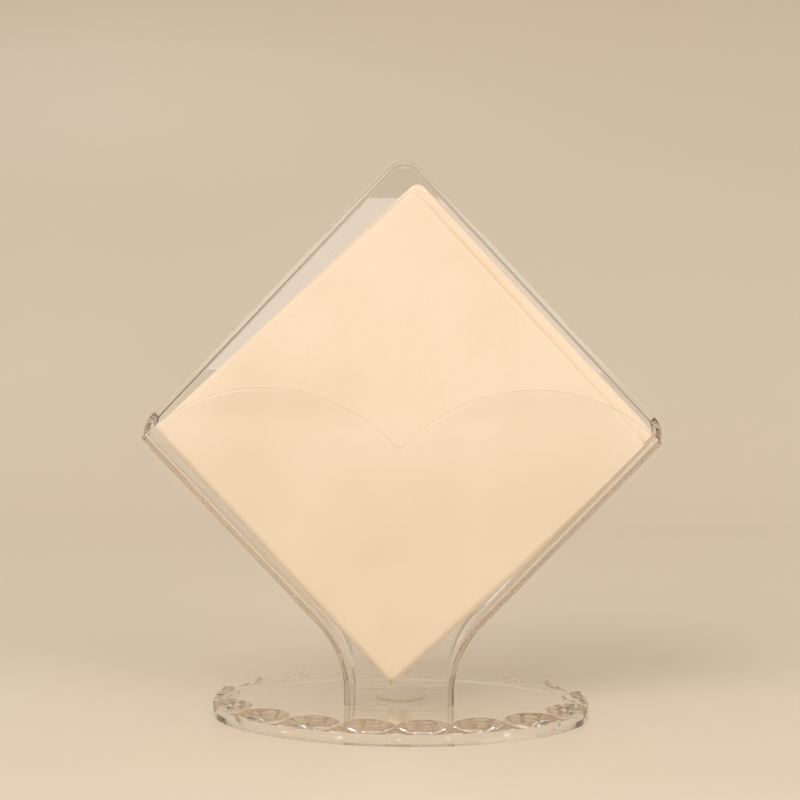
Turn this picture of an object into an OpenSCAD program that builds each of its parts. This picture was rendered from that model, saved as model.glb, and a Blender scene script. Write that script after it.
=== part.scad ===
// Table napkin holder: a clear moulded pocket on a neck and a scalloped oval base.
// Front is -Y, up is +Z, the origin is the middle of the base's underside. Millimetres.

/* [Pocket] */
// Half of the diamond's width, to the sharp corner at its side
side_reach = 97.1; // [90:0.1:110]
// Height of the diamond's side corners above the table
side_height = 107.3; // [104:0.1:125]
// Slope of the diamond's edges, in degrees from level
edge_slope = 46.6; // [45.5:0.1:48]
// Depth of the pocket over both panels
pocket_depth = 33; // [28:0.5:44]
// Thickness of every wall of the pocket
wall = 2.2; // [1.8:0.1:2.8]
// Outer rounding between a panel and its side walls
edge_round = 6.5; // [5:0.1:7]
// Rounding of the diamond's top corner, seen from the front
top_round = 9.2; // [8:0.1:12]
// Rounding of the diamond's side corners, seen from the front
side_round = 5.4; // [4:0.1:9]
// Depth of the back tray's wall where the front shell meets it
tray_depth = 10; // [8:0.5:12]
// Depth of the low lip along the tray's two upper edges
lip_depth = 4.5; // [3.5:0.1:5]
// Gap at the bonded seam between the two shells
seam_gap = 0.05; // [0.02:0.01:0.2]

/* [Heart front] */
// Radius of the two rounded tops of the heart
hump_radius = 63.5; // [60:0.1:66]
// Sideways distance of a hump's centre from the middle
hump_offset = 48.7; // [46:0.1:51]
// Height of the humps' centres
hump_height = 59.7; // [57:0.1:64]
// Rounding in the dip of the heart
dip_round = 2.8; // [2:0.1:5]
// Rise of the side wall's top edge from the front tip to the lip
wing_rise = 7; // [5:0.1:7.5]

/* [Neck] */
// Width of the neck
neck_width = 40.2; // [38:0.1:46]
// Radius of the sweep from the neck into the pocket's sides
neck_sweep = 36; // [28:0.5:38]

/* [Base] */
// Length of the oval base
base_length = 140; // [132:1:160]
// Depth of the oval base from front to back
base_depth = 88; // [84:1:100]
// Height of the base
base_height = 7; // [6.5:0.1:8]
// Thickness of the base's top over the hollow underside
top_thick = 3.6; // [3.4:0.1:4]
// Width of the solid rim round the hollow underside
rim_width = 5; // [4:0.1:7]
// Number of scallops on each side of the middle
scallops_each_side = 9; // [7:1:10]
// Depth of a scallop at the rim
scallop_drop = 2.7; // [2:0.1:2.9]
// Radius of the small ball-shaped cuts between the scallops
crest_radius = 7; // [5:0.1:9]
// Depth of those small cuts
crest_bite = 1.1; // [0.6:0.1:1.5]
// Radius of the low round boss inside the neck
boss_radius = 9.2; // [7:0.1:11]
// Height of the boss
boss_height = 0.7; // [0.4:0.1:1.2]

/* [Napkins] */
// Number of folded napkins in the pocket
napkin_count = 12; // [6:1:12]
// Side of a folded napkin
napkin_side = 125; // [120:0.5:126]
// Thickness of a folded napkin
napkin_thick = 1.15; // [0.8:0.05:1.2]
// Air between two napkins
napkin_gap = 0.1; // [0.05:0.01:0.12]
// Clockwise lean of the front napkins, in degrees
front_lean = 2.3; // [0.5:0.1:2.5]
// Number of napkins at the front that stand lowest in the V
front_count = 3; // [1:1:4]
// Clockwise lean of the napkins behind them, in degrees
rear_lean = 2; // [0.5:0.1:2.2]
// Largest change of lean from napkin to napkin, in degrees
loose_lean = 0.25; // [0:0.05:0.3]
// How far across the napkins behind have slid up the right side of the V
rear_slide = 4; // [0:0.1:4.5]

/* [Hidden] */
$fn = 96;
overrun = 1;
lap = 1;
clearance = 0.1;
lip_clearance = 0.3;
least_round = 0.6;
crest_drop_share = 0.5;
half_share = 0.5;
arc_steps = 10;
round_steps = 6;
hump_steps = 40;
dip_steps = 6;
oval_steps = 180;
oval_sides = 120;
square_half_angle = 45;
lean_steps = [0.2, -0.8, 0.6, -0.3, 1, -0.6, 0.4, -1, 0.8, -0.2, 0.5, -0.5];

slope = tan(edge_slope);
turn = 90 - edge_slope;
neck_half = neck_width / 2;
back_face = pocket_depth / 2;
v_apex = side_height - side_reach * slope;
top_apex = side_height + side_reach * slope;
sweep_end = [neck_half + neck_sweep * (1 - cos(turn)),
             v_apex + slope * (neck_half + neck_sweep * (1 - cos(turn)))];
sweep_height = sweep_end[1] - neck_sweep * sin(turn);
sweep_centre = [neck_half + neck_sweep, sweep_height];
panel_zone = edge_round + lap;
foot_cut = base_height - edge_round - overrun;
front_wall_depth = pocket_depth - tray_depth - seam_gap;

// The heart's tip is where a hump crosses the outline's straight lower edge
tip_b = hump_offset + slope * (hump_height - v_apex);
tip_c = hump_offset * hump_offset + (hump_height - v_apex) * (hump_height - v_apex)
        - hump_radius * hump_radius;
tip_x = (tip_b + sqrt(tip_b * tip_b - (1 + slope * slope) * tip_c)) / (1 + slope * slope);
tip_z = v_apex + slope * tip_x;
dip_z = hump_height + sqrt((hump_radius + dip_round) * (hump_radius + dip_round)
        - hump_offset * hump_offset);
dip_angle = atan2(dip_z - hump_height, -hump_offset);

half_length = base_length / 2;
half_depth = base_depth / 2;
// Length along the half oval from the front middle, against the angle
oval_step = 180 / oval_steps;
oval_chords = [for (k = [0 : oval_steps - 1])
    norm(oval_point((k + 1) * oval_step) - oval_point(k * oval_step))];
oval_lengths = running_sum(oval_chords);
half_oval = oval_lengths[oval_steps];
oval_table = [for (k = [0 : oval_steps]) [oval_lengths[k], k * oval_step]];
scallop_count = 2 * scallops_each_side;
scallop_pitch = half_oval / scallops_each_side;
scallop_half = scallop_pitch / 2;
scallop_radius = (scallop_half * scallop_half + scallop_drop * scallop_drop) / (2 * scallop_drop);

function napkin_name(i) = str("napkin_", i < 10 ? "0" : "", i);

function running_sum(list) = [for (k = 0, sum = 0; k <= len(list);
    sum = sum + (k < len(list) ? list[k] : 0), k = k + 1) sum];

// Outline of the pocket moved inward, right half from below the neck's foot to the top
function outline_half(inset) = concat(
    [[neck_half - inset, foot_cut - overrun + inset]],
    [for (k = [0 : arc_steps]) let (a = 180 - turn * k / arc_steps)
        sweep_centre + (neck_sweep + inset) * [cos(a), sin(a)]],
    [for (k = [0 : arc_steps]) let (a = turn * (2 * k / arc_steps - 1), r = left_round(side_round, inset))
        [side_reach - (inset + r) / sin(edge_slope), side_height] + r * [cos(a), sin(a)]],
    [for (k = [0 : arc_steps]) let (a = turn + edge_slope * k / arc_steps, r = left_round(top_round, inset))
        [k == arc_steps ? 0 : r * cos(a), top_apex - (inset + r) / cos(edge_slope) + r * sin(a)]]);

// What is left of a corner's rounding when the outline moves inward
function left_round(round, inset) = max(round - inset, least_round);

// The whole outline at a depth, anticlockwise from the foot's right corner
function ring(inset, depth) = let (half = outline_half(inset), n = len(half)) concat(
    [for (p = half) [p[0], p[1], depth]],
    [for (k = [n - 2 : -1 : 0]) [-half[k][0], half[k][1], depth]]);

function oval_point(a) = [half_length * sin(a), -half_depth * cos(a)];

// Point and outward direction on the oval, a distance along it from the front middle
function oval_at(s) = let (
    a = s <= half_oval ? lookup(s, oval_table) : 360 - lookup(2 * half_oval - s, oval_table),
    p = oval_point(a))
    [p[0], p[1], atan2(-half_length * cos(a), half_depth * sin(a))];

// Distance of the pocket's inner surface from its outline, at a depth from the back face
function inner_inset(depth) = depth >= edge_round ? wall :
    edge_round - sqrt(pow(edge_round - wall, 2) - pow(edge_round - depth, 2));

// Middle of a square napkin that leans clockwise and stands on both sides of the V
function napkin_middle(lean, inset) =
    let (h = napkin_side / sqrt(2), foot = v_apex + inset / cos(edge_slope),
         edge = square_half_angle + lean)
    edge <= edge_slope ?
        [-h * sin(lean) / slope, foot + slope * h * cos(lean)] :
        let (rise = foot + slope * h * cos(lean) + h * sin(lean),
             reach = -sin(edge) * sweep_centre[0] + cos(edge) * sweep_centre[1]
                     + neck_sweep + inset + napkin_side / 2,
             x = (reach - cos(edge) * rise) / (sin(edge) + cos(edge) * slope))
        [x, rise + slope * x];

function in_front(i) = i > napkin_count - front_count;

function napkin_lean(i) = in_front(i) ?
    front_lean - loose_lean * (napkin_count - i) / napkin_count :
    rear_lean + loose_lean * lean_steps[(i - 1) % len(lean_steps)];

// A whole diamond shell lying on its panel, walls pointing up: rings from the panel's
// inner face over the rounded inner corner and the wall's edge to its outer face
module diamond_shell(depth) {
    inner = edge_round - wall;
    angles = [for (k = [0 : round_steps]) 90 * k / round_steps];
    rings = concat(
        [for (k = [round_steps : -1 : 0])
            ring(edge_round - inner * cos(angles[k]), edge_round - inner * sin(angles[k]))],
        [ring(wall, depth), ring(0, depth)],
        [for (a = angles) ring(edge_round * (1 - cos(a)), edge_round * (1 - sin(a)))]);
    n = len(rings[0]);
    last = len(rings) - 1;
    half = (n - 1) / 2;
    polyhedron(
        points = [for (r = rings) each r],
        faces = concat(
            [for (r = [0 : last - 1], k = [0 : n - 1])
                [r * n + k, r * n + (k + 1) % n, (r + 1) * n + (k + 1) % n, (r + 1) * n + k]],
            [for (k = [0 : half - 1]) strip(0, n, k)],
            [for (k = [0 : half - 1]) reversed(strip(last * n, n, k))]));
}

// A level strip of a panel, between a pair of points on each side
function strip(first, n, k) = k == (n - 1) / 2 - 1 ?
    [first + k, first + n - 1 - k, first + k + 1] :
    [first + k, first + n - 1 - k, first + n - 2 - k, first + k + 1];

function reversed(list) = [for (k = [len(list) - 1 : -1 : 0]) list[k]];

// Right half of the heart's outline, from the base over the hump to the middle of the dip
function heart_half() = concat(
    [[hump_offset + hump_radius, base_height]],
    [for (k = [0 : hump_steps]) let (a = dip_angle * k / hump_steps)
        [hump_offset, hump_height] + hump_radius * [cos(a), sin(a)]],
    [for (k = [1 : dip_steps]) let (a = dip_angle - 180 + (90 - dip_angle) * k / dip_steps)
        [0, dip_z] + dip_round * [cos(a), sin(a)]]);

// Area under the heart's top edge
module heart_area() {
    half = heart_half();
    polygon(concat(half, [for (k = [len(half) - 2 : -1 : 0]) [-half[k][0], half[k][1]]]));
}

// Side view of what stays of the walls, from the front tip to the top of the lip
module wall_profile() {
    polygon([[-back_face - overrun, base_height],
             [back_face + overrun, base_height],
             [back_face + overrun, top_apex + overrun],
             [back_face - lip_depth, top_apex + overrun],
             [back_face - lip_depth, tip_z + wing_rise],
             [panel_zone - back_face, tip_z],
             [-back_face - overrun, tip_z]]);
}

module wall_envelope() {
    translate([-side_reach, 0, 0])
        rotate([90, 0, 90])
            linear_extrude(height = 2 * side_reach)
                wall_profile();
}

module front_envelope() {
    translate([0, panel_zone - back_face, 0])
        rotate([90, 0, 0])
            linear_extrude(height = panel_zone + overrun)
                heart_area();
    intersection() {
        wall_envelope();
        translate([-side_reach, panel_zone - back_face, 0])
            cube([2 * side_reach, pocket_depth, top_apex]);
    }
}

module back_tray() {
    color([0.93, 0.95, 0.95, 0.3])
        intersection() {
            translate([0, back_face, 0])
                rotate([90, 0, 0])
                    diamond_shell(tray_depth);
            wall_envelope();
        }
}

module front_shell() {
    color([0.93, 0.95, 0.95, 0.3])
        intersection() {
            mirror([0, 1, 0])
                translate([0, back_face, 0])
                    rotate([90, 0, 0])
                        diamond_shell(front_wall_depth);
            front_envelope();
        }
}

// Flat oval of the base, moved inward
module oval_area(inset) {
    polygon([for (k = [0 : oval_sides - 1]) let (p = oval_at(2 * half_oval * k / oval_sides))
        [p[0] - inset * cos(p[2]), p[1] - inset * sin(p[2])]]);
}

module plain_base() {
    difference() {
        union() {
            linear_extrude(height = base_height)
                oval_area(0);
            translate([0, 0, base_height - top_thick / 2])
                cylinder(r = boss_radius, h = top_thick / 2 + boss_height);
        }
        translate([0, 0, -overrun])
            linear_extrude(height = base_height - top_thick + overrun)
                oval_area(rim_width);
    }
}

// The base with a number of its rim cuts made, one after another
module cut_base(cuts) {
    if (cuts == 0)
        plain_base();
    else
        difference() {
            cut_base(cuts - 1);
            if (cuts > scallop_count)
                crest(oval_at((cuts - 1 - scallop_count) * scallop_pitch));
            else
                scallop(oval_at((cuts - half_share) * scallop_pitch));
        }
}

module oval_base() {
    color([0.93, 0.95, 0.95, 0.3])
        cut_base(2 * scallop_count);
}

// A ball-shaped cut over the rim
module scallop(place) {
    translate([place[0], place[1], base_height + scallop_radius - scallop_drop])
        sphere(scallop_radius);
}

// A small ball-shaped cut into the rim between two scallops
module crest(place) {
    translate([place[0] + (crest_radius - crest_bite) * cos(place[2]),
               place[1] + (crest_radius - crest_bite) * sin(place[2]),
               base_height - scallop_drop * crest_drop_share])
        sphere(crest_radius);
}

module napkin(i) {
    depth = lip_depth + lip_clearance + (i - 1) * (napkin_thick + napkin_gap);
    lean = napkin_lean(i);
    slide = in_front(i) ? 0 : rear_slide;
    middle = napkin_middle(lean, inner_inset(depth) + clearance) + slide * [1, slope];
    color([0.93, 0.85, 0.74])
        translate([middle[0], back_face - depth - napkin_thick, middle[1]])
            rotate([0, square_half_angle + lean, 0])
                translate([-napkin_side / 2, 0, -napkin_side / 2])
                    cube([napkin_side, napkin_thick, napkin_side]);
}

back_tray();
front_shell();
oval_base();
for (i = [1 : napkin_count])
    napkin(i);
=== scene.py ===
"""Clear moulded napkin holder with folded paper napkins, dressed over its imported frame."""

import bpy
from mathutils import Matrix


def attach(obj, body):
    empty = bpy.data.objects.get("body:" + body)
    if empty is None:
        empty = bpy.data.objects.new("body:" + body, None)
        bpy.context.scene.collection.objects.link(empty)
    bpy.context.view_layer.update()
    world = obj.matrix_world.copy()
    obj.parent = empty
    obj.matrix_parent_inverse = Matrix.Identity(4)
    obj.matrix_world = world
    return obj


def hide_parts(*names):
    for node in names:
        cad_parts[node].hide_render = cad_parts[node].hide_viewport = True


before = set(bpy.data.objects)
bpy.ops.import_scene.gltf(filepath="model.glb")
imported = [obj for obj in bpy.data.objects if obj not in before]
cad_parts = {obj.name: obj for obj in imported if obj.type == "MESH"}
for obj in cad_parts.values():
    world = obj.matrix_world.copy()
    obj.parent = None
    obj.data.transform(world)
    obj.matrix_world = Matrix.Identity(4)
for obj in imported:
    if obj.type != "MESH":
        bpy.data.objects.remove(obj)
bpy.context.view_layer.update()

import logging
import math
from dataclasses import dataclass, field
from enum import Enum

import bmesh
import bpy
from mathutils import Matrix, Vector, noise

log = logging.getLogger("napkin_holder")
MM = 0.001
WELD = 1e-7
PANEL_WEIGHT = 100

Flat = tuple[float, float]
Point = tuple[float, float, float]
Face = tuple[int, ...]
Colour = tuple[float, float, float, float]


class Side(Enum):
    """Which half of the holder a row of points belongs to."""

    RIGHT = 1
    LEFT = -1


class Slot(Enum):
    """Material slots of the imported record."""

    PLASTIC = "clear_plastic"
    PAPER = "napkin_paper"


class Cut(Enum):
    """What a tool does to the base."""

    ADD = "UNION"
    TAKE = "DIFFERENCE"


def mix(a: float, b: float, share: float) -> float:
    """Value between a and b."""
    return a + (b - a) * share


def bezier(a: Flat, corner: Flat, b: Flat, steps: int) -> list[Flat]:
    """Round a corner between two points.

    Args:
        a: Where the rounding starts.
        corner: The sharp corner.
        b: Where the rounding ends.
        steps: Number of steps.

    Returns:
        The points from a to b, both included.
    """
    out = []
    for k in range(steps + 1):
        t = k / steps
        first, pull, last = (1 - t) ** 2, 2 * t * (1 - t), t * t
        out.append(tuple(first * p + pull * c + last * q for p, c, q in zip(a, corner, b)))
    return out


def mesh_object(name: str, points: list[Point], faces: list[Face], sharp: float) -> bpy.types.Object:
    """Make a smooth mesh object from points in millimetres.

    Args:
        name: Name of the object.
        points: Points in the row frame.
        faces: Corner indices of each face.
        sharp: Angle in degrees above which an edge stays sharp.

    Returns:
        The linked object, its faces pointing outwards.
    """
    mesh = bpy.data.meshes.new(name)
    mesh.from_pydata([[c * MM for c in p] for p in points], [], faces)
    bm = bmesh.new()
    bm.from_mesh(mesh)
    bmesh.ops.remove_doubles(bm, verts=bm.verts, dist=WELD)
    bmesh.ops.recalc_face_normals(bm, faces=bm.faces)
    bm.to_mesh(mesh)
    bm.free()
    obj = bpy.data.objects.new(name, mesh)
    bpy.context.scene.collection.objects.link(obj)
    smooth(obj, sharp)
    return obj


def smooth(obj: bpy.types.Object, sharp: float) -> None:
    """Shade smooth with flat panels kept flat.

    Args:
        obj: A mesh object.
        sharp: Angle in degrees above which an edge stays sharp.
    """
    obj.data.shade_smooth()
    obj.data.set_sharp_from_angle(angle=math.radians(sharp))
    weigh = obj.modifiers.new("flat_panels", "WEIGHTED_NORMAL")
    weigh.keep_sharp = True
    weigh.weight = PANEL_WEIGHT


class Nodes:
    """Small helper that adds and links shader nodes in one tree."""

    def __init__(self, tree: bpy.types.NodeTree) -> None:
        """Keep the tree that nodes go into."""
        self.tree = tree

    def add(self, kind: str, **values: object) -> bpy.types.Node:
        """Add a node and set its inputs by name.

        Args:
            kind: Node type.
            **values: Input values, with underscores for spaces; a socket is linked.

        Returns:
            The new node.
        """
        node = self.tree.nodes.new(kind)
        for key, value in values.items():
            self.put(node, key.replace("_", " "), value)
        return node

    def put(self, node: bpy.types.Node, name: str | int, value: object) -> None:
        """Set one input of a node to a value, or link a socket to it."""
        socket = node.inputs[name]
        if isinstance(value, bpy.types.NodeSocket):
            self.tree.links.new(value, socket)
        else:
            socket.default_value = value

    def math(self, operation: str, a: object, b: object = 0.0) -> bpy.types.NodeSocket:
        """Add a Math node and return its output."""
        node = self.tree.nodes.new("ShaderNodeMath")
        node.operation = operation
        self.put(node, 0, a)
        self.put(node, 1, b)
        return node.outputs[0]

    def noise(self, place: bpy.types.NodeSocket, scale: object, detail: float) -> bpy.types.NodeSocket:
        """Add a Noise texture and return its value."""
        return self.add("ShaderNodeTexNoise", Vector=place, Scale=scale, Detail=detail).outputs[0]


class SharedEffects:
    """Shader node groups that several materials use."""

    scuff_scale: float = 900.0
    crepe_scale: float = 620.0
    fibre_relief: float = 0.35
    fibre_shade: float = 0.3
    cloud_shade: float = 0.7
    stretch: Point = (1.0, 1.0, 0.35)
    grain_turn: float = math.radians(45)

    @staticmethod
    def _new(name: str, inputs: dict[str, float], outputs: list[str]) -> tuple[bpy.types.NodeTree, Nodes]:
        """Make an empty group with float sockets.

        Args:
            name: Name of the group.
            inputs: Input names with their default values.
            outputs: Output names.

        Returns:
            The group and a helper for it.
        """
        group = bpy.data.node_groups.new(name, "ShaderNodeTree")
        for key, value in inputs.items():
            socket = group.interface.new_socket(key, in_out="INPUT", socket_type="NodeSocketFloat")
            socket.default_value = value
        for key in outputs:
            group.interface.new_socket(key, in_out="OUTPUT", socket_type="NodeSocketFloat")
        return group, Nodes(group)

    @classmethod
    def moulding(cls) -> bpy.types.NodeTree:
        """Build the uneven skin of moulded clear plastic: a roughness and a height.

        Returns:
            The node group.
        """
        group, n = cls._new("moulded_skin", {"Flow Scale": 30.0, "Haze": 0.02, "Polish": 0.012},
                            ["Roughness", "Height"])
        given = group.nodes.new("NodeGroupInput")
        place = n.add("ShaderNodeTexCoord").outputs["Object"]
        flow = n.noise(place, given.outputs["Flow Scale"], 2.0)
        scuff = n.noise(place, cls.scuff_scale, 4.0)
        patch = n.math("MULTIPLY", flow, scuff)
        rough = n.math("ADD", n.math("MULTIPLY", patch, given.outputs["Haze"]), given.outputs["Polish"])
        out = group.nodes.new("NodeGroupOutput")
        n.put(out, "Roughness", rough)
        n.put(out, "Height", flow)
        return group

    @classmethod
    def tissue(cls) -> bpy.types.NodeTree:
        """Build the soft crepe and fibres of tissue paper: a shade and a height.

        Returns:
            The node group.
        """
        values = {"Fibre Scale": 2600.0, "Cloud Scale": 22.0, "Crepe": 1.0}
        group, n = cls._new("tissue_crepe", values, ["Shade", "Height"])
        given = group.nodes.new("NodeGroupInput")
        place = n.add("ShaderNodeTexCoord").outputs["Object"]
        along = n.add("ShaderNodeMapping", Vector=place, Scale=cls.stretch,
                      Rotation=(0.0, cls.grain_turn, 0.0)).outputs[0]
        fibre = n.noise(along, given.outputs["Fibre Scale"], 3.0)
        cloud = n.noise(place, given.outputs["Cloud Scale"], 2.0)
        crepe = n.math("MULTIPLY", n.noise(along, cls.crepe_scale, 2.0), given.outputs["Crepe"])
        height = n.math("ADD", n.math("MULTIPLY", fibre, cls.fibre_relief), crepe)
        cloudy = n.math("MULTIPLY", cloud, cls.cloud_shade)
        shade = n.math("ADD", n.math("MULTIPLY", fibre, cls.fibre_shade), cloudy)
        out = group.nodes.new("NodeGroupOutput")
        n.put(out, "Shade", shade)
        n.put(out, "Height", height)
        return group


@dataclass(frozen=True)
class ClearPlastic:
    """Clear, glossy moulded plastic."""

    name: str
    tint: Colour = (0.985, 0.988, 0.985, 1.0)
    ior: float = 1.5
    flow_scale: float = 30.0
    haze: float = 0.012
    polish: float = 0.004
    ripple_mm: float = 0.004
    lets_through: Colour = (0.965, 0.965, 0.955, 1.0)
    long_way: Colour = (0.66, 0.46, 0.18, 1.0)
    per_metre: float = 12.0

    def material(self, skin: bpy.types.NodeTree) -> bpy.types.Material:
        """Build the material.

        Args:
            skin: The shared group of the moulded skin.

        Returns:
            The material.
        """
        mat = bpy.data.materials.new(self.name)
        mat.use_nodes = True
        tree = mat.node_tree
        tree.nodes.clear()
        n = Nodes(tree)
        group = tree.nodes.new("ShaderNodeGroup")
        group.node_tree = skin
        for key, value in (("Flow Scale", self.flow_scale), ("Haze", self.haze), ("Polish", self.polish)):
            n.put(group, key, value)
        bump = n.add("ShaderNodeBump", Strength=1.0, Distance=self.ripple_mm * MM,
                     Height=group.outputs["Height"])
        shell = n.add("ShaderNodeBsdfPrincipled", Base_Color=self.tint, IOR=self.ior,
                      Transmission_Weight=1.0, Roughness=group.outputs["Roughness"],
                      Normal=bump.outputs[0])
        clear = n.add("ShaderNodeBsdfTransparent", Color=self.lets_through)
        path = n.add("ShaderNodeLightPath")
        surface = shell.outputs[0]
        for ray in ("Is Shadow Ray", "Is Diffuse Ray"):
            choose = tree.nodes.new("ShaderNodeMixShader")
            n.put(choose, 0, path.outputs[ray])
            n.put(choose, 1, surface)
            n.put(choose, 2, clear.outputs[0])
            surface = choose.outputs[0]
        out = n.add("ShaderNodeOutputMaterial", Surface=surface)
        depth = n.add("ShaderNodeVolumeAbsorption", Color=self.long_way, Density=self.per_metre)
        n.put(out, "Volume", depth.outputs[0])
        return mat


@dataclass(frozen=True)
class TissuePaper:
    """Soft dyed tissue of a paper napkin."""

    name: str
    pale: Colour = (0.93, 0.765, 0.59, 1.0)
    deep: Colour = (0.87, 0.69, 0.51, 1.0)
    fibre_scale: float = 2600.0
    crepe: float = 1.0
    relief_mm: float = 0.03
    relief_strength: float = 0.6
    deep_at: float = 0.3
    pale_at: float = 0.62
    least_rough: float = 0.82
    shade_rough: float = 0.12
    gloss: float = 0.2
    sheen: float = 0.25
    sheen_rough: float = 0.6

    def material(self, tissue: bpy.types.NodeTree) -> bpy.types.Material:
        """Build the material.

        Args:
            tissue: The shared group of crepe and fibres.

        Returns:
            The material.
        """
        mat = bpy.data.materials.new(self.name)
        mat.use_nodes = True
        tree = mat.node_tree
        tree.nodes.clear()
        n = Nodes(tree)
        group = tree.nodes.new("ShaderNodeGroup")
        group.node_tree = tissue
        n.put(group, "Fibre Scale", self.fibre_scale)
        n.put(group, "Crepe", self.crepe)
        ramp = n.add("ShaderNodeValToRGB", Fac=group.outputs["Shade"])
        stops = ((self.deep_at, self.deep), (self.pale_at, self.pale))
        for stop, (at, colour) in zip(ramp.color_ramp.elements, stops):
            stop.position, stop.color = at, colour
        bump = n.add("ShaderNodeBump", Strength=self.relief_strength, Distance=self.relief_mm * MM,
                     Height=group.outputs["Height"])
        rough = n.math("MULTIPLY", group.outputs["Shade"], self.shade_rough)
        rough = n.math("ADD", rough, self.least_rough)
        paper = n.add("ShaderNodeBsdfPrincipled", Base_Color=ramp.outputs[0], Roughness=rough,
                      Normal=bump.outputs[0], Specular_IOR_Level=self.gloss, Sheen_Weight=self.sheen,
                      Sheen_Roughness=self.sheen_rough)
        n.put(n.add("ShaderNodeOutputMaterial"), "Surface", paper.outputs[0])
        return mat


@dataclass(frozen=True)
class PaleFloor:
    """Plain pale floor and backdrop."""

    name: str = "pale_floor"
    colour: Colour = (0.78, 0.66, 0.52, 1.0)
    shade: float = 0.97
    cloud_scale: float = 6.0
    roughness: float = 0.4

    def material(self) -> bpy.types.Material:
        """Build the material.

        Returns:
            The material.
        """
        mat = bpy.data.materials.new(self.name)
        mat.use_nodes = True
        n = Nodes(mat.node_tree)
        shader = mat.node_tree.nodes["Principled BSDF"]
        place = n.add("ShaderNodeTexCoord").outputs["Object"]
        ramp = n.add("ShaderNodeValToRGB", Fac=n.noise(place, self.cloud_scale, 3.0))
        ramp.color_ramp.elements[0].color = tuple(self.shade * c for c in self.colour[:3]) + (1.0,)
        ramp.color_ramp.elements[1].color = self.colour
        n.put(shader, "Base Color", ramp.outputs[0])
        n.put(shader, "Roughness", self.roughness)
        return mat


@dataclass
class PocketOutline:
    """Outline of the pocket seen from the front, in millimetres, shared by both shells."""

    side_reach: float = 97.1
    side_height: float = 107.3
    edge_slope: float = math.radians(46.6)
    top_round: float = 9.2
    side_round: float = 5.4
    least_round: float = 0.6
    neck_half: float = 20.1
    neck_sweep: float = 36.0
    foot: float = 7.06
    depth: float = 33.0
    wall: float = 2.2
    edge_round: float = 6.5
    slope: float = field(init=False)
    turn: float = field(init=False)
    v_apex: float = field(init=False)
    top_apex: float = field(init=False)
    sweep_z: float = field(init=False)

    def __post_init__(self) -> None:
        """Work out the places that follow from the sizes."""
        self.slope = math.tan(self.edge_slope)
        self.turn = math.pi / 2 - self.edge_slope
        self.v_apex = self.side_height - self.side_reach * self.slope
        self.top_apex = self.side_height + self.side_reach * self.slope
        reach = self.neck_half + self.neck_sweep * (1 - math.cos(self.turn))
        self.sweep_z = self.v_apex + self.slope * reach - self.neck_sweep * math.sin(self.turn)

    def _side(self, inset: float) -> tuple[float, float]:
        """Centre and radius of the side corner at an inset."""
        r = max(self.side_round - inset, self.least_round)
        return self.side_reach - (inset + r) / math.sin(self.edge_slope), r

    def _top(self, inset: float) -> tuple[float, float]:
        """Centre height and radius of the top corner at an inset."""
        r = max(self.top_round - inset, self.least_round)
        return self.top_apex - (inset + r) / math.cos(self.edge_slope), r

    def at(self, inset: float, s: float) -> Flat:
        """Find a point of the right half.

        Args:
            inset: Distance inward from the outline.
            s: Station: 0 to 1 neck, 2 end of the sweep, 3 end of the lower edge, 4 end of the
                side corner, 5 end of the upper edge, 6 top.

        Returns:
            The point's x and z.
        """
        sweep = self.neck_half + self.neck_sweep
        if s <= 1:
            return self.neck_half - inset, mix(self.foot, self.sweep_z, s)
        if s <= 2:
            a = math.pi - self.turn * (s - 1)
            r = self.neck_sweep + inset
            return sweep + r * math.cos(a), self.sweep_z + r * math.sin(a)
        side, r = self._side(inset)
        if s <= 3:
            ax, az = self.at(inset, 2)
            bx, bz = side + r * math.cos(self.turn), self.side_height - r * math.sin(self.turn)
            return mix(ax, bx, s - 2), mix(az, bz, s - 2)
        if s <= 4:
            a = self.turn * (2 * (s - 3) - 1)
            return side + r * math.cos(a), self.side_height + r * math.sin(a)
        top, t = self._top(inset)
        if s <= 5:
            ax, az = side + r * math.cos(self.turn), self.side_height + r * math.sin(self.turn)
            bx, bz = t * math.cos(self.turn), top + t * math.sin(self.turn)
            return mix(ax, bx, s - 4), mix(az, bz, s - 4)
        a = self.turn + self.edge_slope * (s - 5)
        return t * math.cos(a), top + t * math.sin(a)

    @staticmethod
    def bend(thick: float, r: float, share: float) -> Flat:
        """Point on the rounding from panel to wall.

        Args:
            thick: 0 for the outer face, the wall's thickness for the inner one.
            r: Radius of the rounding.
            share: 0 at the panel, 1 at the wall.

        Returns:
            Inset and depth from the panel's outer face.
        """
        a = share * math.pi / 2
        return thick + r - r * math.sin(a), thick + r - r * math.cos(a)


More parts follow.
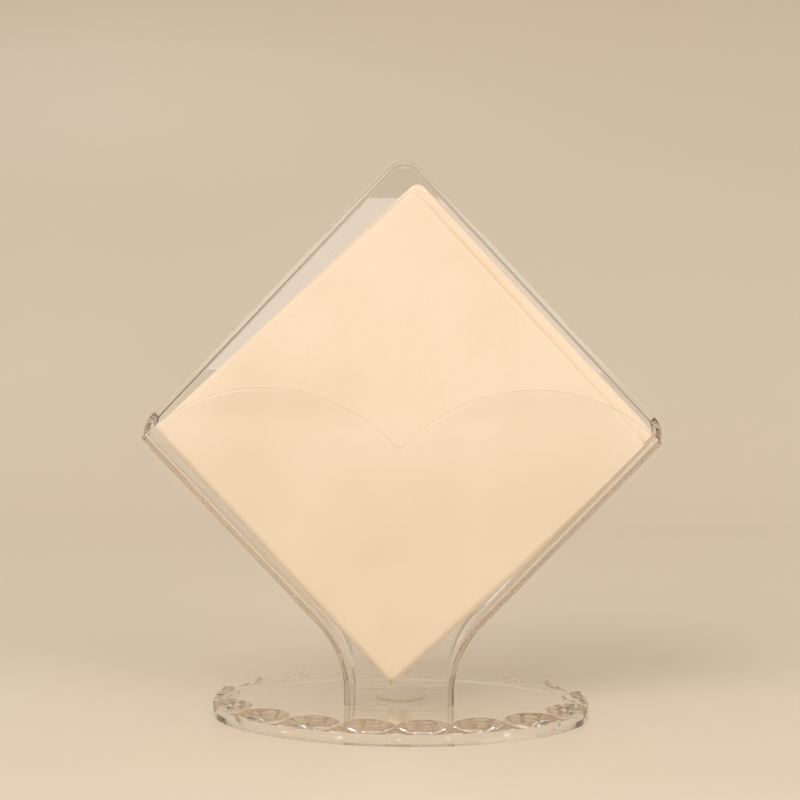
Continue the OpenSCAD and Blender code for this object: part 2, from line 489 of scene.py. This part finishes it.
@dataclass
class Heart:
    """Top edge of the front panel, in millimetres."""

    hump_radius: float = 63.5
    hump_offset: float = 48.7
    hump_height: float = 59.7
    dip_round: float = 2.8
    wing_rise: float = 7.0
    wing_start: float = 7.5
    lip_depth: float = 4.5
    dip_steps: int = 8
    dip_z: float = field(init=False)
    dip_angle: float = field(init=False)

    def __post_init__(self) -> None:
        """Work out the rounded dip."""
        reach = self.hump_radius + self.dip_round
        self.dip_z = self.hump_height + math.sqrt(reach * reach - self.hump_offset ** 2)
        self.dip_angle = math.atan2(self.dip_z - self.hump_height, -self.hump_offset)

    def tip(self, outline: PocketOutline) -> Flat:
        """Where a hump crosses the straight lower edge."""
        m, rise = outline.slope, self.hump_height - outline.v_apex
        b = self.hump_offset + m * rise
        c = self.hump_offset ** 2 + rise * rise - self.hump_radius ** 2
        x = (b + math.sqrt(b * b - (1 + m * m) * c)) / (1 + m * m)
        return x, outline.v_apex + m * x

    def wing(self, outline: PocketOutline, depth: float) -> float:
        """Height of the side wall's top edge at a depth from the front face."""
        span = outline.depth - self.lip_depth - self.wing_start
        return self.tip(outline)[1] + self.wing_rise * max(0.0, depth - self.wing_start) / span

    def inside(self, x: float, z: float) -> bool:
        """Whether a point of the right half lies under the heart's edge."""
        reach = math.hypot(x - self.hump_offset, z - self.hump_height)
        return z <= self.hump_height or reach <= self.hump_radius

    def edge(self, start: Flat, steps: int) -> list[tuple[Flat, Flat]]:
        """Follow the edge from a point on the right hump to the middle of the dip.

        Args:
            start: First point, on the hump.
            steps: Steps over the hump.

        Returns:
            Points with the unit direction down into the panel.
        """
        first = math.atan2(start[1] - self.hump_height, start[0] - self.hump_offset)
        out = []
        for k in range(steps + 1):
            a = mix(first, self.dip_angle, k / steps)
            d = (math.cos(a), math.sin(a))
            x = self.hump_offset + self.hump_radius * d[0]
            z = self.hump_height + self.hump_radius * d[1]
            out.append(((x, z), (-d[0], -d[1])))
        for k in range(1, self.dip_steps + 1):
            a = mix(self.dip_angle - math.pi, -math.pi / 2, k / self.dip_steps)
            d = (math.cos(a), math.sin(a))
            out.append(((self.dip_round * d[0], self.dip_z + self.dip_round * d[1]), d))
        return out


@dataclass
class BackTray:
    """Back shell: the full diamond panel with its walls and low upper lip."""

    outline: PocketOutline
    heart: Heart
    seam_depth: float = 10.0
    edge_fillet: float = 0.45
    lip_round: float = 0.9
    bend_steps: int = 12
    wall_steps: int = 4
    rim_steps: int = 3

    def rows(self) -> list[float]:
        """Stations along the right half, closer together on the bends."""
        lower = ((0, 1, 3), (1, 2, 18), (2, 2.93, 16), (2.93, 3, 4))
        upper = ((3, 4, 26), (4, 4.06, 4), (4.06, 5, 24), (5, 6, 16))
        parts = lower + upper
        return [mix(a, b, k / n) for a, b, n in parts for k in range(n)] + [6.0]

    def wall_depth(self, s: float) -> float:
        """Depth of the wall from the back face at a station."""
        z = self.outline.at(0, s)[1]
        if s >= 4:
            return self.heart.lip_depth
        low, high = (self.heart.wing(self.outline, self.outline.depth - d)
                     for d in (self.seam_depth, self.heart.lip_depth))
        if z <= low:
            return self.seam_depth
        return mix(self.seam_depth, self.heart.lip_depth, min(1.0, (z - low) / (high - low)))

    def lip_inset(self, s: float) -> float:
        """How far the upper lip stands inside the outline at a station, none on the deep wall of the V."""
        r = self.outline.edge_round
        share = min(1.0, max(0.0, s - 3))
        full = r - math.sqrt(r * r - (r - self.heart.lip_depth) ** 2)
        return full * share * share * (3 - 2 * share)

    def _curve(self, thick: float, depth: float, shift: float) -> list[Flat]:
        """Inset and depth from the panel to the wall's edge, on one face.

        Args:
            thick: 0 for the outer face, the wall's thickness for the inner one.
            depth: Depth of the wall's edge.
            shift: Inset of the whole section.

        Returns:
            Points, the last one short of the edge by the fillet.
        """
        o = self.outline
        r = self.lip_round
        last = depth - self.edge_fillet
        out = []
        for k in range(self.bend_steps + 1):
            inset, d = o.bend(thick, r, k / self.bend_steps)
            out.append((shift + inset, d))
        for k in range(1, self.wall_steps + 1):
            out.append((shift + thick, mix(thick + r, last, k / self.wall_steps)))
        return out

    def section(self, s: float) -> list[Flat]:
        """Section from the panel's outer face round the wall's edge to its inner face."""
        depth = self.wall_depth(s)
        shift = self.lip_inset(s)
        outer, inner = self._curve(0.0, depth, shift), self._curve(self.outline.wall, depth, shift)
        o, i = outer[-1], inner[-1]
        f = self.edge_fillet
        outer_rim = bezier(o, (o[0], depth), (o[0] + f, depth), self.rim_steps)[1:]
        inner_rim = bezier((i[0] - f, depth), (i[0], depth), i, self.rim_steps)[:-1]
        return outer + outer_rim + inner_rim + inner[::-1]

    def build(self) -> bpy.types.Object:
        """Build the smooth shell.

        Returns:
            The shell's object.
        """
        o = self.outline
        stations = [(s, Side.RIGHT) for s in self.rows()] + [(s, Side.LEFT) for s in self.rows()[-2::-1]]
        points: list[Point] = []
        for s, side in stations:
            for inset, depth in self.section(s):
                x, z = o.at(inset, s)
                points.append((side.value * x, o.depth / 2 - depth, z))
        n = len(points) // len(stations)
        rows = len(stations)
        faces: list[Face] = []
        for r in range(rows - 1):
            for k in range(n - 1):
                faces.append((r * n + k, r * n + k + 1, (r + 1) * n + k + 1, (r + 1) * n + k))
        for r in range(rows // 2):
            a, b, c, d = r, r + 1, rows - 2 - r, rows - 1 - r
            for k in (0, n - 1):
                faces.append(tuple(dict.fromkeys(q * n + k for q in (a, b, c, d))))
        faces.append(tuple(range(n)) + tuple((rows - 1) * n + k for k in range(n - 1, -1, -1)))
        return mesh_object("back_tray_moulding", points, faces, 40)


@dataclass
class FrontShell:
    """Front shell: the heart panel, the side walls of the V and the front of the neck."""

    outline: PocketOutline
    heart: Heart
    seam_depth: float = 22.93
    edge_fillet: float = 1.0
    rim_steps: int = 5
    wall_steps: int = 7
    bend_steps: int = 14
    hump_steps: int = 72
    neck_rows: int = 3
    sweep_rows: int = 18
    edge_rows: int = 16
    tip_rows: int = 36
    tip_start: float = 2.85
    front_round: float = 3.0
    halvings: int = 48
    fine_steps: int = 400
    fillet_reach: float = 0.25

    def columns(self, thick: float) -> list[Flat]:
        """Inset and depth of each column, from the seam round to the panel."""
        r = self.front_round - thick
        rows, bends = self.wall_steps, self.bend_steps
        wall = [(thick, mix(self.seam_depth, self.front_round, k / rows)) for k in range(rows)]
        return wall + [self.outline.bend(thick, r, 1 - k / bends) for k in range(bends + 1)]

    def column_top(self, inset: float, depth: float) -> float:
        """Station where a column meets the top edge.

        Args:
            inset: Distance inward from the outline.
            depth: Depth from the front face.

        Returns:
            The station.
        """
        o, h = self.outline, self.heart
        limit = h.wing(o, depth)
        low, high = self.tip_start, 5.0
        for _ in range(self.halvings):
            s = (low + high) / 2
            x, z = o.at(inset, s)
            under = z <= limit if depth >= h.wing_start else h.inside(x, z)
            low, high = (s, high) if under else (low, s)
        return low

    def column_points(self, inset: float, depth: float) -> tuple[list[Point], Point]:
        """Points of a column from the foot up to the fillet, and its top corner.

        Args:
            inset: Distance inward from the outline.
            depth: Depth from the front face.

        Returns:
            The points and the sharp corner above the last one.
        """
        o = self.outline
        top = self.column_top(inset, depth)
        y = depth - o.depth / 2

        def place(s: float) -> Vector:
            """Point of the column at a station."""
            x, z = o.at(inset, s)
            return Vector((x, y, z))

        corner, low, last = place(top), top - self.fillet_reach, top
        for _ in range(self.halvings):
            s = (low + last) / 2
            low, last = (s, last) if (corner - place(s)).length > self.edge_fillet else (low, s)
        parts = ((0, 1, self.neck_rows), (1, 2, self.sweep_rows), (2, self.tip_start, self.edge_rows))
        stations = [mix(a, b, k / n) for a, b, n in parts for k in range(n)]
        fine = [mix(self.tip_start, last, k / self.fine_steps) for k in range(self.fine_steps + 1)]
        run = [0.0]
        for a, b in zip(fine, fine[1:]):
            run.append(run[-1] + (place(b) - place(a)).length)
        for k in range(self.tip_rows):
            stations.append(fine[next(i for i, r in enumerate(run) if r >= run[-1] * k / self.tip_rows)])
        stations.append(last)
        return [tuple(place(s)) for s in stations], tuple(corner)

    def rim(self, outer: Point, outer_corner: Point, inner_corner: Point, inner: Point) -> list[Point]:
        """Rounded top edge between the outer and the inner face.

        Args:
            outer: Last point of the outer face.
            outer_corner: Sharp outer corner.
            inner_corner: Sharp inner corner.
            inner: Last point of the inner face.

        Returns:
            The points between outer and inner, without these two.
        """
        across = Vector(inner_corner) - Vector(outer_corner)
        f = across.normalized() * self.edge_fillet
        a = tuple(Vector(outer_corner) + f)
        b = tuple(Vector(inner_corner) - f)
        return (bezier(outer, outer_corner, a, self.rim_steps)[1:]
                + bezier(b, inner_corner, inner, self.rim_steps)[:-1])

    def strips(self) -> tuple[list[list[Point]], int, int]:
        """Lines of points over the right half, from the outer face over the top edge to the inner one.

        Returns:
            The lines, the number of lines on the wall and rounding, and the points below each edge.
        """
        o, h = self.outline, self.heart
        lines: list[list[Point]] = []
        for (io, do), (ii, di) in zip(self.columns(0.0), self.columns(o.wall)):
            outer, outer_corner = self.column_points(io, do)
            inner, inner_corner = self.column_points(ii, di)
            lines.append(outer + self.rim(outer[-1], outer_corner, inner_corner, inner[-1]) + inner[::-1])
            below, start = len(outer), outer_corner
        count = len(lines)
        front, back = -o.depth / 2, o.wall - o.depth / 2
        for (x, z), (dx, dz) in h.edge((start[0], start[2]), self.hump_steps)[1:]:
            lx, lz = x + self.edge_fillet * dx, z + self.edge_fillet * dz
            outer, inner = (lx, front, lz), (lx, back, lz)
            lines.append([outer] + self.rim(outer, (x, front, z), (x, back, z), inner) + [inner])
        return lines, count, below

    def panel(self, points: list[Point], right: list[int], edge: list[int], left: list[int]) -> list[Face]:
        """Fill one face of the panel by rows below the dip and by strips under the humps.

        Args:
            points: All points so far; the feet of the strips are added.
            right: Point numbers up the right side.
            edge: Point numbers along the heart's edge, right to left.
            left: Point numbers up the left side.

        Returns:
            The faces.
        """
        row = self.neck_rows + self.sweep_rows + self.edge_rows
        faces: list[Face] = [(right[k], right[k + 1], left[k + 1], left[k]) for k in range(row - 1)]
        x, y, z = points[right[row]]
        narrow = x / points[right[-1]][0]
        feet = list(range(len(points), len(points) + len(edge)))
        points.extend((points[j][0] * narrow, y, z) for j in edge)
        chain = [right[row]] + feet + [left[row]]
        half = len(chain) // 2
        faces += [(right[row - 1], a, b) for a, b in zip(chain[:half], chain[1:half + 1])]
        faces += [(left[row - 1], a, b) for a, b in zip(chain[half:], chain[half + 1:])]
        faces.append((right[row - 1], chain[half], left[row - 1]))
        faces += [(feet[k], edge[k], edge[k + 1], feet[k + 1]) for k in range(len(edge) - 1)]
        for side, foot, end in ((right, feet[0], edge[0]), (left, feet[-1], edge[-1])):
            chain = side[row:] + [end]
            faces += [(foot, a, b) for a, b in zip(chain, chain[1:])]
        return faces

    def build(self) -> bpy.types.Object:
        """Build the smooth shell.

        Returns:
            The shell's object.
        """
        right, count, below = self.strips()
        left = [[(-x, y, z) for x, y, z in line] for line in right[-2::-1]]
        lines = right + left
        points: list[Point] = []
        first: list[int] = []
        for line in lines:
            first.append(len(points))
            points.extend(line)
        span = len(right[-1])
        faces: list[Face] = []

        def quads(a: int, b: int, skip_a: int, skip_b: int, length: int) -> None:
            """Join two neighbouring lines by quads."""
            for k in range(length - 1):
                p, q = first[a] + skip_a + k, first[b] + skip_b + k
                faces.append((p, p + 1, q + 1, q))

        full = len(right[0])
        total = len(lines)
        for j in range(total - 1):
            long_a = j < count or j >= total - count
            long_b = j + 1 < count or j + 1 >= total - count
            if long_a and long_b and j != count - 1:
                quads(j, j + 1, 0, 0, full)
            else:
                quads(j, j + 1, below - 1 if long_a else 0, below - 1 if long_b else 0, span)
        inside = range(count, total - count)
        ra, la = first[count - 1], first[total - count]
        for step, start, hump in ((1, 0, 0), (-1, full - 1, span - 1)):
            sides = [[side + start + step * k for k in range(below)] for side in (ra, la)]
            faces += self.panel(points, sides[0], [first[j] + hump for j in inside], sides[1])
        seam_right, seam_left = first[0], first[total - 1]
        for seam in (seam_right, seam_left):
            for k in range(below - 1):
                faces.append((seam + k, seam + k + 1, seam + full - 2 - k, seam + full - 1 - k))
            faces.append(tuple(range(seam + below - 1, seam + full - below + 1)))
        walls = list(range(count)) + list(range(total - count, total))
        faces.append(tuple([first[j] for j in walls] + [first[j] + full - 1 for j in walls[::-1]]))
        return mesh_object("front_shell_moulding", points, faces, 40)


@dataclass
class OvalBase:
    """Thick oval base with a cut-glass rim and a hollow underside, in millimetres."""

    half_length: float = 70.0
    half_depth: float = 44.0
    height: float = 7.0
    top_thick: float = 3.6
    rim_width: float = 5.0
    scallops: int = 18
    scallop_drop: float = 2.7
    crest_radius: float = 7.0
    crest_bite: float = 1.1
    boss_radius: float = 9.2
    boss_height: float = 0.7
    boss_fillet: float = 0.4
    boss_root: float = 1.0
    boss_sides: int = 96
    overcut: float = 2.0
    sides: int = 288
    ball_sides: int = 96
    ball_rings: int = 64
    rim_parts: int = 3600
    lengths: list[float] = field(default_factory=list)

    def point(self, a: float) -> Flat:
        """Point on the oval at an angle from the front middle."""
        return self.half_length * math.sin(a), -self.half_depth * math.cos(a)

    def along(self, share: float) -> tuple[float, float, float]:
        """Find a place on the rim by distance.

        Args:
            share: Share of the whole rim from the front middle.

        Returns:
            x, y and the outward direction's angle.
        """
        steps = self.rim_parts
        if not self.lengths:
            self.lengths.append(0.0)
            for k in range(steps):
                p, q = self.point(math.tau * k / steps), self.point(math.tau * (k + 1) / steps)
                self.lengths.append(self.lengths[-1] + math.dist(p, q))
        goal = self.lengths[-1] * (share % 1.0)
        k = next((i for i in range(steps) if self.lengths[i + 1] >= goal), steps - 1)
        span = self.lengths[k + 1] - self.lengths[k]
        a = math.tau * (k + (goal - self.lengths[k]) / span) / steps
        x, y = self.point(a)
        return x, y, math.atan2(-self.half_length * math.cos(a), self.half_depth * math.sin(a))

    def slab(self, name: str, inset: float, low: float, high: float) -> bpy.types.Object:
        """Make an oval slab.

        Args:
            name: Name of the object.
            inset: Distance inward from the rim.
            low: Underside.
            high: Top.

        Returns:
            The slab's object.
        """
        ring = []
        for k in range(self.sides):
            x, y, a = self.along(k / self.sides)
            ring.append((x - inset * math.cos(a), y - inset * math.sin(a)))
        points = [(x, y, z) for z in (low, high) for x, y in ring]
        n = self.sides
        faces: list[Face] = [tuple(range(n)), tuple(range(n, 2 * n))]
        faces += [(k, (k + 1) % n, n + (k + 1) % n, n + k) for k in range(n)]
        return mesh_object(name, points, faces, 20)

    def ball(self, name: str, x: float, y: float, z: float, radius: float) -> bpy.types.Object:
        """Make a ball-shaped cutter."""
        mesh = bpy.data.meshes.new(name)
        bm = bmesh.new()
        bmesh.ops.create_uvsphere(bm, u_segments=self.ball_sides, v_segments=self.ball_rings,
                                  radius=radius * MM)
        bmesh.ops.translate(bm, verts=bm.verts, vec=Vector((x, y, z)) * MM)
        bm.to_mesh(mesh)
        bm.free()
        obj = bpy.data.objects.new(name, mesh)
        bpy.context.scene.collection.objects.link(obj)
        return obj

    def boss(self) -> bpy.types.Object:
        """Make the low round boss with a softened edge."""
        low, top = self.height - self.boss_root, self.height + self.boss_height
        r, f, n = self.boss_radius, self.boss_fillet, self.boss_sides
        profile = [(r, low)] + bezier((r, top - f), (r, top), (r - f, top), 4)
        turns = [math.tau * k / n for k in range(n)]
        points = [(p * math.cos(a), p * math.sin(a), z) for p, z in profile for a in turns]
        last = len(profile) - 1
        faces: list[Face] = [tuple(range(n)), tuple(range(last * n, last * n + n))]
        faces += [(j * n + k, j * n + (k + 1) % n, (j + 1) * n + (k + 1) % n, (j + 1) * n + k)
                  for j in range(last) for k in range(n)]
        return mesh_object("boss", points, faces, 30)

    def build(self) -> bpy.types.Object:
        """Carve the base out of its slab.

        Returns:
            The base's object.
        """
        base = self.slab("oval_base_moulding", 0.0, 0.0, self.height)
        base.modifiers.clear()
        tools = [(self.boss(), Cut.ADD)]
        hollow_top = self.height - self.top_thick
        tools.append((self.slab("hollow", self.rim_width, -self.overcut, hollow_top), Cut.TAKE))
        pitch = 1.0 / self.scallops
        half = self.lengths[-1] * pitch / 2
        radius = (half * half + self.scallop_drop ** 2) / (2 * self.scallop_drop)
        level = self.height + radius - self.scallop_drop
        for k in range(self.scallops):
            x, y, _ = self.along((k + 0.5) * pitch)
            tools.append((self.ball(f"scallop_{k}", x, y, level, radius), Cut.TAKE))
        out, level = self.crest_radius - self.crest_bite, self.height - self.scallop_drop / 2
        for k in range(self.scallops):
            x, y, a = self.along(k * pitch)
            x, y = x + out * math.cos(a), y + out * math.sin(a)
            tools.append((self.ball(f"crest_{k}", x, y, level, self.crest_radius), Cut.TAKE))
        for tool, cut in tools:
            carve = base.modifiers.new(tool.name, "BOOLEAN")
            carve.operation, carve.object, carve.solver = cut.value, tool, "MANIFOLD"
        carved = base.evaluated_get(bpy.context.evaluated_depsgraph_get())
        shape = bpy.data.meshes.new_from_object(carved)
        base.modifiers.clear()
        base.data = shape
        for tool, _ in tools:
            bpy.data.objects.remove(tool)
        smooth(base, 14)
        return base


@dataclass
class FoldedNapkin:
    """One square napkin folded in four, standing on its open corner."""

    node: str
    outline: PocketOutline
    slip: Flat = (0.0, 0.0)
    tilt: float = 0.0
    side: float = 129.0
    layer: float = 0.285
    paper: float = 0.23
    corner_round: float = 4.0
    wall_room: float = 0.6
    press: float = 0.6
    hem: float = 0.02
    fold_start: float = 0.985
    steps: int = 22
    fold_steps: int = 6
    swell: float = 0.45
    crease: float = 0.12
    flat: Flat = (0.258, 0.258)

    def fold(self, s: float, height: float, centre: float) -> Flat:
        """Fold a straight line of paper in two.

        Args:
            s: Place along the line, 0 to 1 on the first half, 1 to 2 round the fold, 2 to 3 on the second.
            height: Height of the paper before the fold.
            centre: Height of the fold's centre.

        Returns:
            Place across the folded napkin and height.
        """
        half = self.side / 2
        turn = half - centre
        if s <= 1:
            return mix(-half, turn, s), height
        if s >= 2:
            return mix(turn, -half, s - 2), 2 * centre - height
        a = math.pi * (s - 1)
        r = centre - height
        return turn + r * math.sin(a), centre - r * math.cos(a)

    def stations(self) -> list[float]:
        """Places along one direction of the flat sheet, closer together round the fold."""
        n, f = self.steps, self.fold_steps
        flat = [0.0] + [mix(self.hem, self.fold_start, k / n) for k in range(n)] + [self.fold_start]
        return flat + [1 + k / f for k in range(f + 1)] + [3 - s for s in reversed(flat)]

    def blunt(self, x: float, y: float) -> Flat:
        """Round off the closed corner of the folded square."""
        r = self.corner_round
        start = self.side / 2 - r
        a, b = (x - start) / r, (y - start) / r
        if a <= 0 or b <= 0:
            return x, y
        across = start + r * a * math.sqrt(max(0.0, 1 - b * b / 2))
        return across, start + r * b * math.sqrt(max(0.0, 1 - a * a / 2))

    def place(self) -> tuple[Vector, float]:
        """Middle and lean of the napkin, from its solid.

        Returns:
            The middle in metres and the clockwise lean in radians.
        """
        corners = [v.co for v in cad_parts[self.node].data.vertices]
        middle = sum(corners, Vector()) / len(corners)
        top = max(corners, key=lambda c: c.z)
        return middle, math.atan2(top.x - middle.x, top.z - middle.z)

    def build(self) -> bpy.types.Object:
        """Build the folded sheet.

        Returns:
            The napkin's object.
        """
        middle, lean = self.place()
        lean += self.tilt
        cx, cy, cz = (c / MM for c in middle)
        cx, cz = cx + self.slip[0], cz + self.slip[1]
        stations = self.stations()
        n = len(stations)
        p = self.layer
        points: list[Point] = []
        for u in stations:
            x, h = self.fold(u, 0.0, p / 2)
            for v in stations:
                y, g = self.fold(v, h, 1.5 * p)
                a, b = self.blunt(x, y)
                px = a * math.sin(lean + math.pi / 4) + b * math.sin(lean - math.pi / 4)
                pz = a * math.cos(lean + math.pi / 4) + b * math.cos(lean - math.pi / 4)
                wx, wz = self.pressed(cx + px, cz + pz)
                points.append((wx, cy + 1.5 * p - g - self.wave(wx, wz), wz))
        faces: list[Face] = [(r * n + k, r * n + k + 1, (r + 1) * n + k + 1, (r + 1) * n + k)
                             for r in range(n - 1) for k in range(n - 1)]
        obj = mesh_object(f"{self.node}_folded", points, faces, 80)
        obj.modifiers.clear()
        thick = obj.modifiers.new("paper", "SOLIDIFY")
        thick.thickness = self.paper * MM
        thick.offset = 0.0
        return obj

    def pressed(self, x: float, z: float) -> Flat:
        """Keep a point of the napkin inside the walls of the V.

        Args:
            x: Place across.
            z: Height.

        Returns:
            The place and height, pushed in where the wall presses the paper.
        """
        o = self.outline
        foot = o.v_apex + (o.wall + self.wall_room) / math.cos(o.edge_slope)
        room = (z - foot - o.slope * abs(x)) * math.cos(o.edge_slope)
        if abs(x) < o.side_reach / 2 or room > 6 * self.press:
            return x, z
        push = self.press * math.log1p(math.exp(room / self.press)) - room
        return x - math.copysign(push * math.sin(o.edge_slope), x), z + push * math.cos(o.edge_slope)

    def wave(self, x: float, z: float) -> float:
        """Soft forward swell of the whole stack at a place, in millimetres."""
        broad = noise.noise(Vector((x * 0.011, 0.3, z * 0.011)))
        fine = noise.noise(Vector((x * 0.035, 7.1, z * 0.02)))
        return self.swell * (broad + 0.5) ** 2 + self.crease * (fine + 0.5) ** 2


@dataclass(frozen=True)
class SoftLamp:
    """One soft area lamp, in metres and watts."""

    name: str
    place: Point
    aim: Point
    size: Flat
    watts: float
    colour: Point = (1.0, 0.98, 0.96)

    def hang(self) -> None:
        """Add the lamp to the scene."""
        data = bpy.data.lights.new(self.name, "AREA")
        data.shape = "RECTANGLE"
        data.size, data.size_y = self.size
        data.energy = self.watts
        data.color = self.colour
        obj = bpy.data.objects.new(self.name, data)
        bpy.context.scene.collection.objects.link(obj)
        obj.location = self.place
        aim = Vector(self.aim) - Vector(self.place)
        obj.rotation_euler = aim.to_track_quat("-Z", "Y").to_euler()


@dataclass
class Studio:
    """Pale floor and backdrop, soft lamps and the photograph's camera."""

    distance: float = 695.0
    azimuth: float = 0.039
    height: float = 191.45
    pitch: float = 0.106
    yaw: float = -0.04
    roll: float = 0.005
    focal_px: float = 1907.0
    frame_px: float = 800.0
    sensor: float = 36.0
    sweep_bend: float = 0.35
    sweep_steps: int = 9
    back: float = 0.75
    half_width: float = 0.45
    near: float = 1.4
    tall: float = 1.3
    sink: float = 0.02
    dark: Colour = (0.05, 0.03, 0.018, 1.0)
    dusk: Colour = (0.16, 0.11, 0.07, 1.0)
    pale: Colour = (0.6, 0.56, 0.5, 1.0)
    sky: Colour = (1.0, 0.97, 0.92, 1.0)
    surround_strength: float = 0.8
    bounces: int = 64
    clear_bounces: int = 32
    clamp: float = 1.5
    lamps: tuple[SoftLamp, ...] = (
        SoftLamp("key", (-0.7, -0.9, 1.1), (0, 0, 0.1), (0.9, 0.9), 10.8, (1.0, 0.985, 0.96)),
        SoftLamp("fill", (0.9, -0.7, 0.7), (0, 0, 0.1), (0.8, 0.8), 5.6),
        SoftLamp("low_card", (-0.05, -1.0, 0.112), (-0.05, 0, 0.112), (1.0, 0.156), 1.4),
    )

    def camera(self) -> None:
        """Set the camera at the photograph's viewing angle."""
        data = bpy.data.cameras.new("camera")
        data.sensor_width = self.sensor
        data.sensor_fit = "HORIZONTAL"
        data.lens = self.sensor * self.focal_px / self.frame_px
        data.clip_start = 0.01
        cam = bpy.data.objects.new("camera", data)
        bpy.context.scene.collection.objects.link(cam)
        cp, sp = math.cos(self.pitch), math.sin(self.pitch)
        forward = Vector((math.sin(self.yaw) * cp, math.cos(self.yaw) * cp, -sp))
        right = Vector((math.cos(self.yaw), -math.sin(self.yaw), 0.0))
        up = right.cross(forward)
        c, s = math.cos(self.roll), math.sin(self.roll)
        across, above = c * right + s * up, c * up - s * right
        turn = Matrix((across, above, -forward)).transposed().to_4x4()
        x, y = self.distance * math.sin(self.azimuth), -self.distance * math.cos(self.azimuth)
        cam.matrix_world = Matrix.Translation(Vector((x, y, self.height)) * MM) @ turn
        bpy.context.scene.camera = cam

    def floor(self) -> None:
        """Make the floor and backdrop as one pale sweep."""
        bend, far = self.sweep_bend, self.half_width
        start = self.back - bend
        profile = [(-self.near, 0.0), (0.0, 0.0), (start, 0.0)]
        for k in range(1, self.sweep_steps + 1):
            a = math.radians(90 / self.sweep_steps * k)
            profile.append((start + bend * math.sin(a), bend - bend * math.cos(a)))
        profile.append((self.back, self.tall))
        points = [(x / MM, y / MM, z / MM - self.sink) for y, z in profile for x in (-far, far)]
        faces = [(2 * k, 2 * k + 1, 2 * k + 3, 2 * k + 2) for k in range(len(profile) - 1)]
        obj = mesh_object("floor_sweep", points, faces, 60)
        obj.data.materials.append(PaleFloor().material())

    def lights(self) -> None:
        """Set the lamps, the dim surround and how far light is followed."""
        for lamp in self.lamps:
            lamp.hang()
        world = bpy.data.worlds.new("surround")
        bpy.context.scene.world = world
        world.use_nodes = True
        n = Nodes(world.node_tree)
        back = world.node_tree.nodes["Background"]
        place = n.add("ShaderNodeTexCoord").outputs["Generated"]
        high = n.add("ShaderNodeSeparateXYZ", Vector=place).outputs["Z"]
        ramp = n.add("ShaderNodeValToRGB", Fac=n.math("ADD", n.math("MULTIPLY", high, 0.5), 0.5))
        stops = ramp.color_ramp.elements
        for at, colour in ((0.5, self.dark), (0.62, self.dusk), (0.75, self.pale), (1.0, self.sky)):
            stops.new(at).color = colour
        stops.remove(stops[-1])
        stops[0].color = self.dark
        n.put(back, "Color", ramp.outputs[0])
        n.put(back, "Strength", self.surround_strength)
        bpy.context.scene.view_settings.view_transform = "Standard"
        cycles = bpy.context.scene.cycles
        cycles.max_bounces = cycles.glossy_bounces = cycles.transmission_bounces = self.bounces
        cycles.transparent_max_bounces = self.clear_bounces
        cycles.sample_clamp_indirect = self.clamp


@dataclass
class NapkinHolder:
    """The whole dressed holder."""

    outline: PocketOutline = field(default_factory=PocketOutline)
    heart: Heart = field(default_factory=Heart)
    front_count: int = 3
    rear_slip: Flat = (1.2, -0.2)
    rear_tilt: float = math.radians(-0.6)
    front_slip: Flat = (2.8, 0.8)
    front_tilt: float = math.radians(-0.18)

    def adopt(self, obj: bpy.types.Object, node: str, body: str,
              mat: bpy.types.Material) -> None:
        """Let a piece stand for a node of the frame.

        Args:
            obj: The piece.
            node: The node that it replaces.
            body: The body that it rides on.
            mat: Its material.
        """
        obj.data.materials.clear()
        obj.data.materials.append(mat)
        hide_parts(node)
        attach(obj, body)
        log.info("%s: %d faces", obj.name, len(obj.data.polygons))

    def plastic(self) -> None:
        """Build and dress the three clear mouldings."""
        skin = SharedEffects.moulding()
        pocket = ClearPlastic("pocket_clear_plastic").material(skin)
        base_finish = ClearPlastic("base_clear_plastic", flow_scale=22.0, ripple_mm=0.006, per_metre=6.0)
        base = base_finish.material(skin)
        tray = BackTray(self.outline, self.heart).build()
        self.adopt(tray, "back_tray", "holder", pocket)
        shell = FrontShell(self.outline, self.heart).build()
        self.adopt(shell, "front_shell", "holder", pocket)
        self.adopt(OvalBase().build(), "oval_base", "holder", base)

    def napkins(self) -> None:
        """Build and dress the folded napkins."""
        tissue = SharedEffects.tissue()
        front = TissuePaper("front_napkin_tissue").material(tissue)
        rest = TissuePaper("stacked_napkin_tissue", crepe=0.7, relief_mm=0.02).material(tissue)
        nodes = sorted(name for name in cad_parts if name.startswith("napkin_"))
        for k, name in enumerate(nodes):
            napkin = FoldedNapkin(name, self.outline, slip=self.rear_slip, tilt=self.rear_tilt)
            if k >= len(nodes) - self.front_count:
                napkin.slip, napkin.tilt = self.front_slip, self.front_tilt
            sheet = napkin.build()
            self.adopt(sheet, name, name, front if name == nodes[-1] else rest)


def main() -> None:
    """Build the holder and its studio in order."""
    logging.basicConfig(level=logging.INFO)
    studio = Studio()
    studio.camera()
    studio.floor()
    studio.lights()
    holder = NapkinHolder()
    holder.plastic()
    holder.napkins()


if __name__ == "__main__":
    main()
